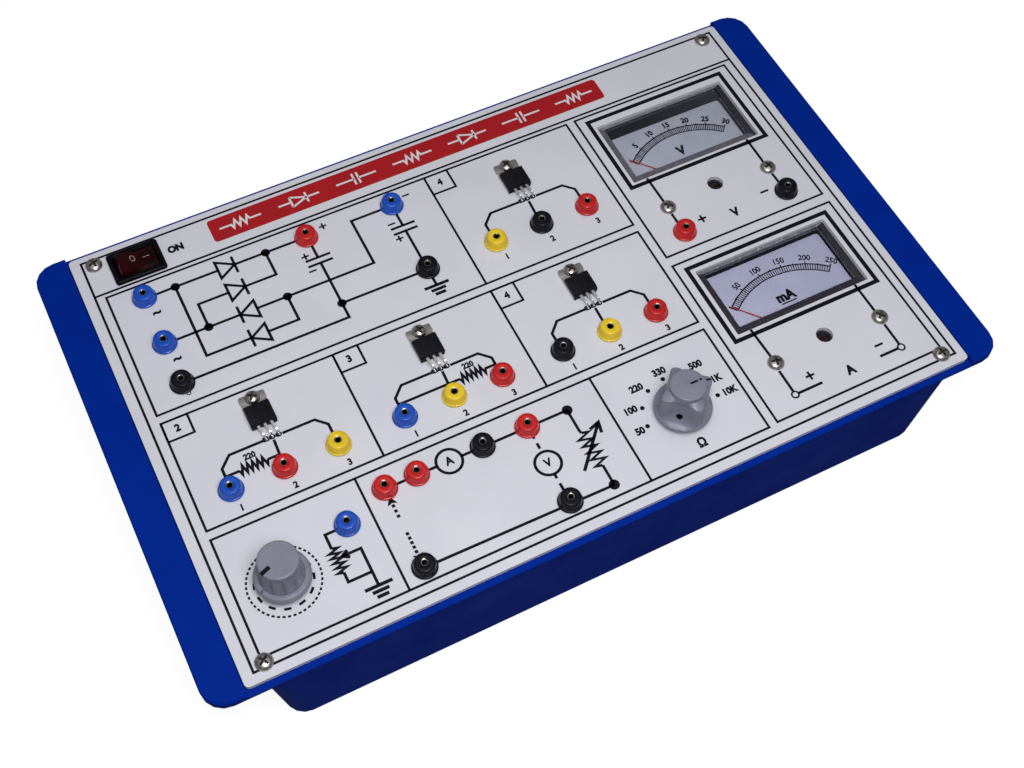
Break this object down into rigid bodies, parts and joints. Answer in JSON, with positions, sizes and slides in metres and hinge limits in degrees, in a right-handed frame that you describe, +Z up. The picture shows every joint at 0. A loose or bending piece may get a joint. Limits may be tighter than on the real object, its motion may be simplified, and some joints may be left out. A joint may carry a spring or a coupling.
{
  "type": "voltage regulator trainer",
  "caption": "Shallow moulded tray under a flat printed panel that carries plug sockets, flat three-legged regulators, a rocker switch, control knobs and pointer meters.",
  "frame": {"origin": "centre of the tray's flat base, on the surface that the trainer rests on", "axes": "+X to the right of the panel, +Y to its rear, +Z up out of the panel"},
  "size_m": [0.3292, 0.2022, 0.07],
  "materials": {
    "tray_blue": "moulded plastic with a fine satin texture",
    "panel_white": "smooth satin laminate, printed",
    "nickel": "nickel-plated steel",
    "blue": "glossy moulded plastic",
    "red": "glossy moulded plastic",
    "yellow": "glossy moulded plastic",
    "black": "glossy moulded plastic",
    "package_black": "matt moulding compound",
    "switch_black": "glossy moulded plastic",
    "rocker_red": "dark translucent plastic",
    "knob_grey": "satin moulded plastic",
    "plated_steel": "zinc-plated steel",
    "meter_black": "satin moulded plastic",
    "dial_grey": "matt printed sheet",
    "pointer_red": "matt painted aluminium",
    "clear_acrylic": "clear and polished",
    "iron_core": "varnished laminations with taped copper windings",
    "board_green": "solder-masked laminate with fitted components"
  },
  "bodies": {
    "base": {"tray": "tray_blue", "front_panel": "panel_white", "cable_bush": "black", "panel_screw_rear_left": "nickel", "panel_screw_rear_right": "nickel", "panel_screw_front_left": "nickel", "panel_screw_front_right": "nickel", "voltmeter_screw_left": "nickel", "voltmeter_screw_right": "nickel", "ammeter_screw_left": "nickel", "ammeter_screw_right": "nickel", "socket_input_upper": "blue", "socket_input_lower": "blue", "socket_input_centre": "black", "socket_rectified_positive": "red", "socket_rectified_negative": "blue", "socket_rectified_ground": "black", "socket_regulator_1_left": "yellow", "socket_regulator_1_middle": "black", "socket_regulator_1_right": "red", "socket_regulator_2_left": "blue", "socket_regulator_2_middle": "red", "socket_regulator_2_right": "yellow", "socket_regulator_3_left": "blue", "socket_regulator_3_middle": "yellow", "socket_regulator_3_right": "red", "socket_regulator_4_left": "black", "socket_regulator_4_middle": "yellow", "socket_regulator_4_right": "red", "socket_variable_resistor": "blue", "socket_load_input_positive": "red", "socket_ammeter_circuit_left": "red", "socket_ammeter_circuit_right": "black", "socket_voltmeter_circuit_upper": "red", "socket_load_input_negative": "black", "socket_voltmeter_circuit_lower": "black", "socket_voltmeter_positive": "red", "socket_voltmeter_negative": "black", "regulator_1": "package_black", "regulator_2": "package_black", "regulator_3": "package_black", "regulator_4": "package_black", "rocker_switch_housing": "switch_black", "potentiometer_body": "plated_steel", "selector_switch_body": "plated_steel", "voltmeter_case": "meter_black", "voltmeter_dial_plate": "dial_grey", "voltmeter_window": "clear_acrylic", "ammeter_case": "meter_black", "ammeter_dial_plate": "dial_grey", "ammeter_window": "clear_acrylic", "mains_transformer": "iron_core", "rectifier_board": "board_green"},
    "rocker": {"rocker_switch_rocker": "rocker_red"},
    "resistance_knob": {"resistance_knob": "knob_grey"},
    "selector_knob": {"selector_knob": "knob_grey"},
    "voltmeter_pointer": {"voltmeter_pointer": "pointer_red"},
    "ammeter_pointer": {"ammeter_pointer": "pointer_red"},
    "voltmeter_zero_adjuster": {"voltmeter_zero_adjuster": "meter_black"},
    "ammeter_zero_adjuster": {"ammeter_zero_adjuster": "meter_black"}
  },
  "joints": [
    {"name": "rocker_tilt", "type": "hinge", "parent": "base", "child": "rocker", "pos_m": [-0.12525, 0.08559, 0.0495], "axis": [0, 1, 0], "range_deg": [-21, 0]},
    {"name": "resistance_knob_turn", "type": "hinge", "parent": "base", "child": "resistance_knob", "pos_m": [-0.12375, -0.06712, 0.05], "axis": [0, 0, 1], "range_deg": [-260, 40]},
    {"name": "selector_knob_turn", "type": "hinge", "parent": "base", "child": "selector_knob", "pos_m": [0.03705, -0.06917, 0.05], "axis": [0, 0, 1], "range_deg": [0, 180]},
    {"name": "voltmeter_pointer_swing", "type": "hinge", "parent": "base", "child": "voltmeter_pointer", "pos_m": [0.10485, 0.02219, 0.0448], "axis": [0, 0, 1], "range_deg": [-82, 0], "stiffness_Nm_per_rad": 0.00001},
    {"name": "ammeter_pointer_swing", "type": "hinge", "parent": "base", "child": "ammeter_pointer", "pos_m": [0.10485, -0.06153, 0.0448], "axis": [0, 0, 1], "range_deg": [-82, 0], "stiffness_Nm_per_rad": 0.00001},
    {"name": "voltmeter_zero_turn", "type": "hinge", "parent": "base", "child": "voltmeter_zero_adjuster", "pos_m": [0.10485, 0.01969, 0.05], "axis": [0, 0, 1], "range_deg": [-30, 30]},
    {"name": "ammeter_zero_turn", "type": "hinge", "parent": "base", "child": "ammeter_zero_adjuster", "pos_m": [0.10485, -0.06403, 0.05], "axis": [0, 0, 1], "range_deg": [-30, 30]}
  ]
}
